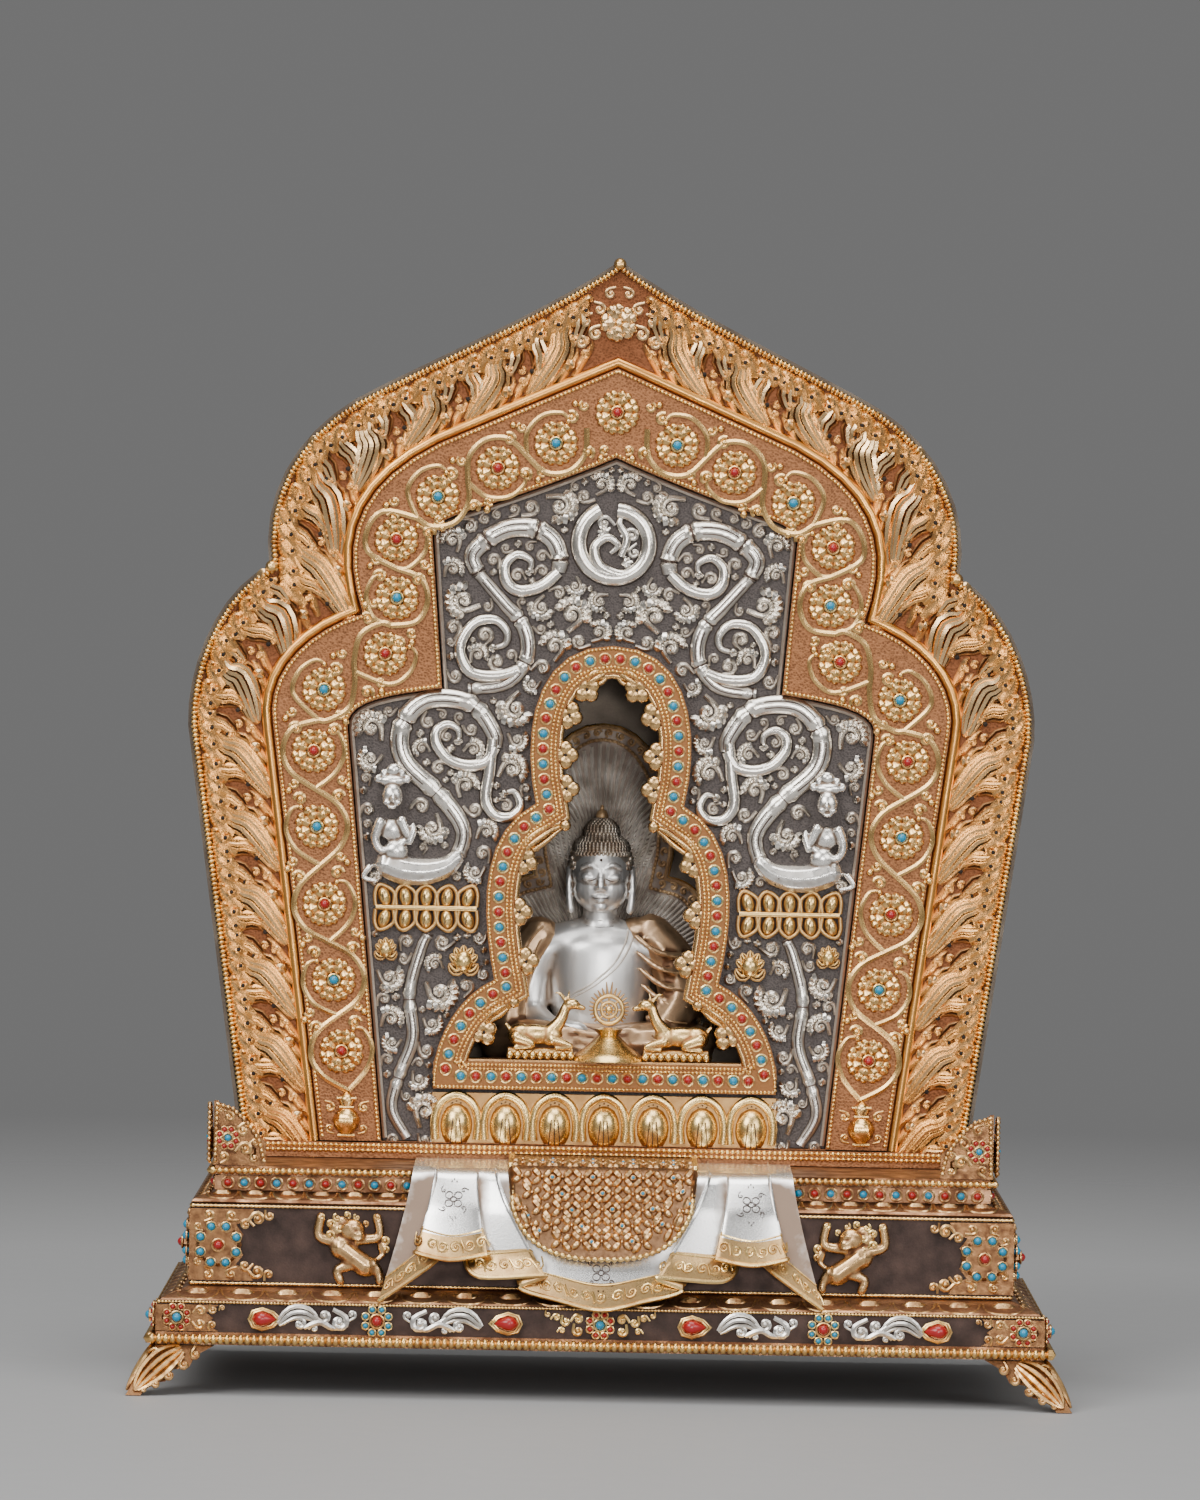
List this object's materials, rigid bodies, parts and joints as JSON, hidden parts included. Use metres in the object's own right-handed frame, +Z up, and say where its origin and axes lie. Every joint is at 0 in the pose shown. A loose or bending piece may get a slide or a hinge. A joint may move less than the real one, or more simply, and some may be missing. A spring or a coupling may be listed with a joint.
{
  "type": "ghau amulet box shrine",
  "caption": "Hollow gilt metal shrine box with an ogee repousse face, a seated figure behind a jewelled window, and a two-tier throne base with a sheet-metal drape",
  "frame": {"origin": "bottom centre of the bounding box, under the middle at the level of the foot soles", "axes": "+Z up, the face looks along -Y, +X to the viewer's right"},
  "size_m": [0.3054, 0.1694, 0.3716],
  "materials": {
    "gilt_copper": "fire-gilt copper sheet, rose-gold highlights over pinkish copper recesses",
    "gilt_brass": "antiqued pale gold",
    "antique_bronze": "brown patinated bronze, rubbed bright on the high points",
    "dark_copper": "dull grey-brown oxidised copper sheet",
    "silver": "bright hammered silver with dark oxide in the recesses",
    "turquoise": "polished turquoise cabochon",
    "coral": "polished red coral cabochon"
  },
  "bodies": {
    "root": {"base_body": "antique_bronze", "stone_band": "antique_bronze", "buddha_pedestal": "antique_bronze", "platform_beads": "gilt_brass", "waist_top_beads": "gilt_brass", "waist_bottom_beads": "gilt_brass", "block_beads": "gilt_brass", "bottom_beads": "gilt_brass", "foot_front_left": "gilt_brass", "foot_front_right": "gilt_brass", "foot_back_left": "gilt_brass", "foot_back_right": "gilt_brass", "corner_crest_left": "gilt_brass", "corner_crest_right": "gilt_brass", "waist_ornament_left": "gilt_brass", "waist_ornament_right": "gilt_brass", "snow_lion_left": "gilt_brass", "snow_lion_right": "gilt_brass", "block_corner_left": "gilt_brass", "block_corner_right": "gilt_brass", "outer_drop_left": "coral", "outer_drop_right": "coral", "inner_drop_left": "coral", "inner_drop_right": "coral", "block_flower_left": "turquoise", "block_flower_right": "turquoise", "outer_scroll_left": "silver", "outer_scroll_right": "silver", "inner_scroll_left": "silver", "inner_scroll_right": "silver", "block_centre": "gilt_brass", "drape": "silver", "brocade_apron": "gilt_brass", "box_shell": "dark_copper", "flame_sheet": "gilt_copper", "face_beads": "gilt_brass", "rosette_band": "gilt_copper", "scroll_panel": "silver", "outer_bud_left": "gilt_brass", "outer_bud_right": "gilt_brass", "inner_bud_left": "gilt_brass", "inner_bud_right": "gilt_brass", "naga_lotus_left": "gilt_brass", "naga_lotus_right": "gilt_brass", "window_frame": "gilt_copper", "lotus_row": "gilt_brass", "bottom_rim": "gilt_brass", "buddha": "silver", "aureole": "silver", "deer_left": "gilt_brass", "deer_right": "gilt_brass", "dharma_wheel": "gilt_brass"}
  },
  "joints": []
}
